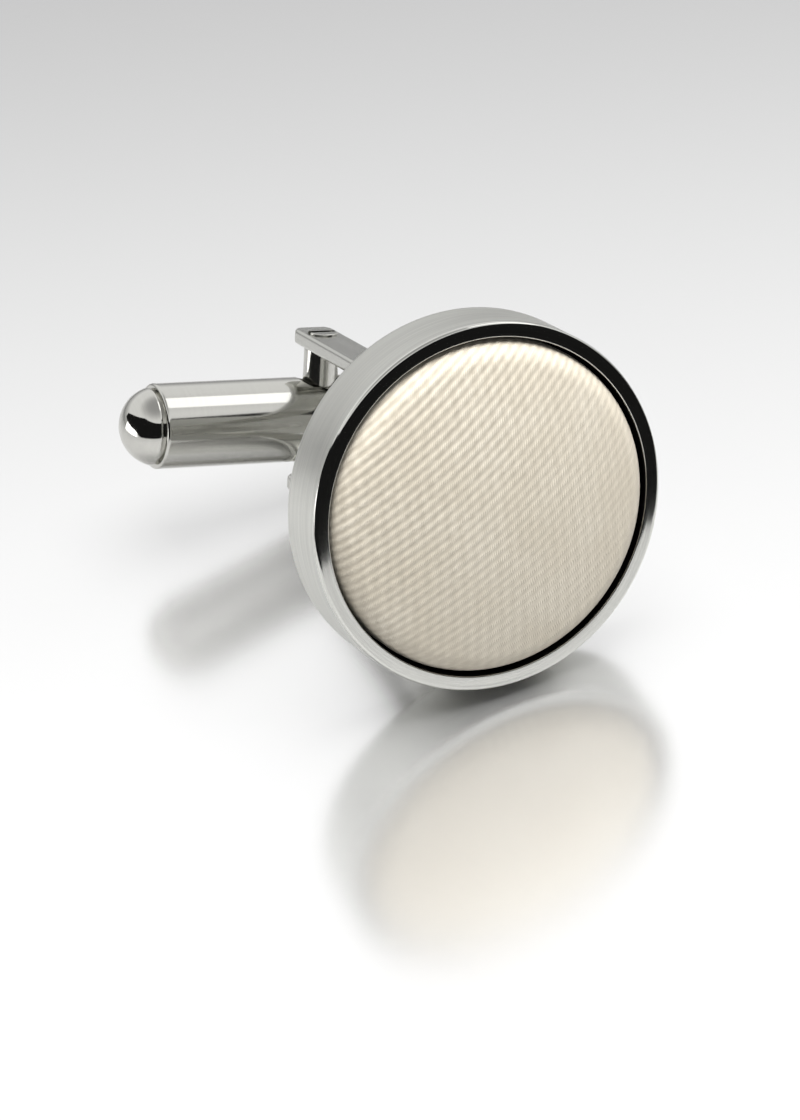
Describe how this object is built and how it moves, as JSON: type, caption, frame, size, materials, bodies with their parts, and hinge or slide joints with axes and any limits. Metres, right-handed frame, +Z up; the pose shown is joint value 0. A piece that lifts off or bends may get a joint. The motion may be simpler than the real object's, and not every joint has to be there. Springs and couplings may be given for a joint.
{
  "type": "cufflink",
  "caption": "Round cufflink: a shallow metal cup holds a domed cloth-covered button, and a forked post carries a swivelling toggle with domed ends that locks it in a shirt cuff",
  "frame": {"origin": "On the table, under the middle of the link's bounding box, as the link rests by itself on the cup's back edge, the end of the lower prong and the right-hand end of the toggle", "axes": "+Z up from the table; +Y the way the post points, seen from above, from the face to the toggle; +X to the right of someone who looks at the face"},
  "size_m": [0.0198, 0.0232, 0.0172],
  "materials": {
    "cup_metal": "satin side, polished lip",
    "polished_metal": "polished",
    "twill_cloth": "satin twill, ivory",
    "button_metal": "as pressed",
    "adhesive": "cured adhesive",
    "spring_steel": "plain"
  },
  "bodies": {
    "face": {"face_cup": "cup_metal", "fabric_cover": "twill_cloth", "button_shell": "button_metal", "button_back": "button_metal", "glue_pad": "adhesive", "foot_plate": "polished_metal", "fork": "polished_metal", "pivot_pin": "polished_metal", "upper_collar": "polished_metal", "lower_collar": "polished_metal"},
    "toggle": {"toggle_bar": "polished_metal", "left_end_plug": "polished_metal", "right_end_plug": "polished_metal", "detent_spring": "spring_steel"},
    "detent": {"detent_ball": "spring_steel"}
  },
  "joints": [
    {"name": "toggle_swivel", "type": "hinge", "parent": "face", "child": "toggle", "pos_m": [0, 0.00904, 0.00408], "axis": [0.2532, 0.2168, 0.9428], "range_deg": [-90, 90]},
    {"name": "detent_press", "type": "slide", "parent": "toggle", "child": "detent", "axis": [0.9674, -0.0567, -0.2468], "range_m": [0, 0.0002], "stiffness_N_per_m": 50, "deforming": ["detent_spring"]}
  ]
}
